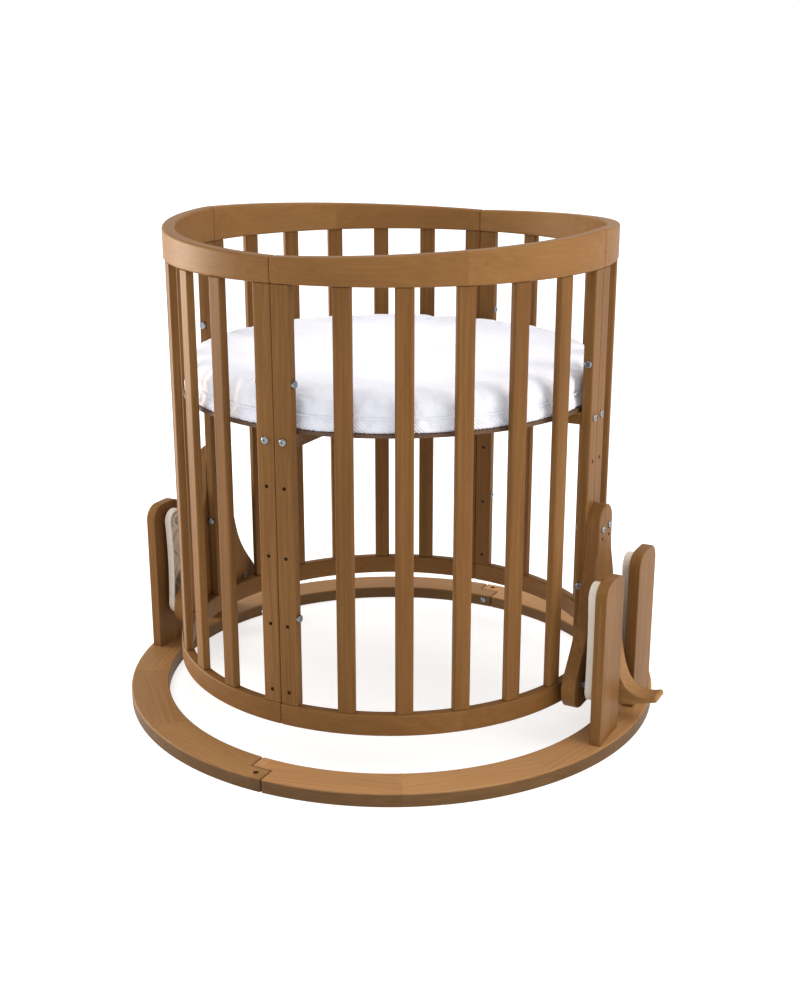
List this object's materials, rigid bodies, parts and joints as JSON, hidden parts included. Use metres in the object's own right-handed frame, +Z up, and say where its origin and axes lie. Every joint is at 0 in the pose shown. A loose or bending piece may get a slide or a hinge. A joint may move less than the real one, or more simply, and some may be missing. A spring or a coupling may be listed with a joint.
{
  "type": "baby crib",
  "caption": "Round slatted wooden baby crib on a pendulum stand, with an adjustable platform, a round mattress and a foot pedal on each side that swings the bed.",
  "frame": {"origin": "centre of the floor ring, on its underside, where the crib stands", "axes": "+Z up; +X towards the right-hand pendulum and pedal; -Y towards the front seam of the crib body, where the top rail is lowest"},
  "size_m": [1.072, 0.996, 0.8858],
  "materials": {
    "crib_wood": "solid beech, walnut-brown stain under satin lacquer",
    "floor_ring_wood": "solid beech, walnut-brown stain under satin lacquer, lighter on its broad top",
    "board_wood": "stained hardboard, dull dark brown",
    "mattress_cover": "white quilted knit cover, matt",
    "link_plastic": "cream-white moulded plastic, satin",
    "zinc_steel": "bright zinc-plated steel",
    "insert_brass": "turned brass, plain"
  },
  "bodies": {
    "stand": {"floor_ring_left": "floor_ring_wood", "floor_ring_right": "floor_ring_wood", "post_screws": "zinc_steel", "ring_barrel_nuts": "zinc_steel", "ring_joint_bolts": "zinc_steel", "stand_post_back_left": "crib_wood", "stand_post_back_right": "crib_wood", "stand_post_front_left": "crib_wood", "stand_post_front_right": "crib_wood", "upper_pivot_bolts": "zinc_steel", "upper_pivot_inserts": "insert_brass", "upper_pivot_washers": "link_plastic"},
    "link_front_right": {"swing_link_front_right": "link_plastic"},
    "link_back_right": {"swing_link_back_right": "link_plastic"},
    "link_back_left": {"swing_link_back_left": "link_plastic"},
    "link_front_left": {"swing_link_front_left": "link_plastic"},
    "crib": {"bearer_across": "crib_wood", "bearer_lengthwise": "crib_wood", "board_screws": "zinc_steel", "bottom_ring_back_left": "crib_wood", "bottom_ring_back_right": "crib_wood", "bottom_ring_front_left": "crib_wood", "bottom_ring_front_right": "crib_wood", "bracket_bolts": "zinc_steel", "bracket_nuts": "zinc_steel", "foot_pedal_left": "crib_wood", "foot_pedal_right": "crib_wood", "lower_pivot_bolts": "zinc_steel", "lower_pivot_nuts": "zinc_steel", "lower_pivot_spacers": "zinc_steel", "pedal_screws": "zinc_steel", "platform_barrel_nuts": "zinc_steel", "platform_board": "board_wood", "platform_bolts": "zinc_steel", "seam_bolts_back": "zinc_steel", "seam_bolts_front": "zinc_steel", "seam_bolts_left": "zinc_steel", "seam_bolts_right": "zinc_steel", "seam_nuts_back": "zinc_steel", "seam_nuts_front": "zinc_steel", "seam_nuts_left": "zinc_steel", "seam_nuts_right": "zinc_steel", "seam_posts_back_left": "crib_wood", "seam_posts_back_right": "crib_wood", "seam_posts_front_left": "crib_wood", "seam_posts_front_right": "crib_wood", "slats_back_left": "crib_wood", "slats_back_right": "crib_wood", "slats_front_left": "crib_wood", "slats_front_right": "crib_wood", "swing_bracket_left": "crib_wood", "swing_bracket_right": "crib_wood", "top_rail_back_left": "crib_wood", "top_rail_back_right": "crib_wood", "top_rail_front_left": "crib_wood", "top_rail_front_right": "crib_wood"},
    "mattress": {"mattress": "mattress_cover"}
  },
  "joints": [
    {"name": "swing", "type": "hinge", "parent": "stand", "child": "link_front_right", "pos_m": [0.4405, -0.0865, 0.282], "axis": [1, 0, 0], "range_deg": [-6.5, 6.5]},
    {"name": "crib_on_front_right_link", "type": "hinge", "parent": "link_front_right", "child": "crib", "pos_m": [0.4405, -0.0865, 0.111], "axis": [1, 0, 0], "range_deg": [-6.5, 6.5]},
    {"name": "back_right_link_pivot", "type": "hinge", "parent": "stand", "child": "link_back_right", "pos_m": [0.4405, 0.0865, 0.282], "axis": [1, 0, 0], "range_deg": [-6.5, 6.5]},
    {"name": "back_left_link_pivot", "type": "hinge", "parent": "stand", "child": "link_back_left", "pos_m": [-0.4405, 0.0865, 0.282], "axis": [1, 0, 0], "range_deg": [-6.5, 6.5]},
    {"name": "front_left_link_pivot", "type": "hinge", "parent": "stand", "child": "link_front_left", "pos_m": [-0.4405, -0.0865, 0.282], "axis": [1, 0, 0], "range_deg": [-6.5, 6.5]},
    {"name": "mattress_lift", "type": "slide", "parent": "crib", "child": "mattress", "axis": [0, 0, 1], "range_m": [0, 0.35]}
  ],
  "couplings": [
    {"joint": "crib_on_front_right_link", "follows": "swing", "ratio": -1},
    {"joint": "back_right_link_pivot", "follows": "swing", "ratio": 1},
    {"joint": "back_left_link_pivot", "follows": "swing", "ratio": 1},
    {"joint": "front_left_link_pivot", "follows": "swing", "ratio": 1}
  ]
}
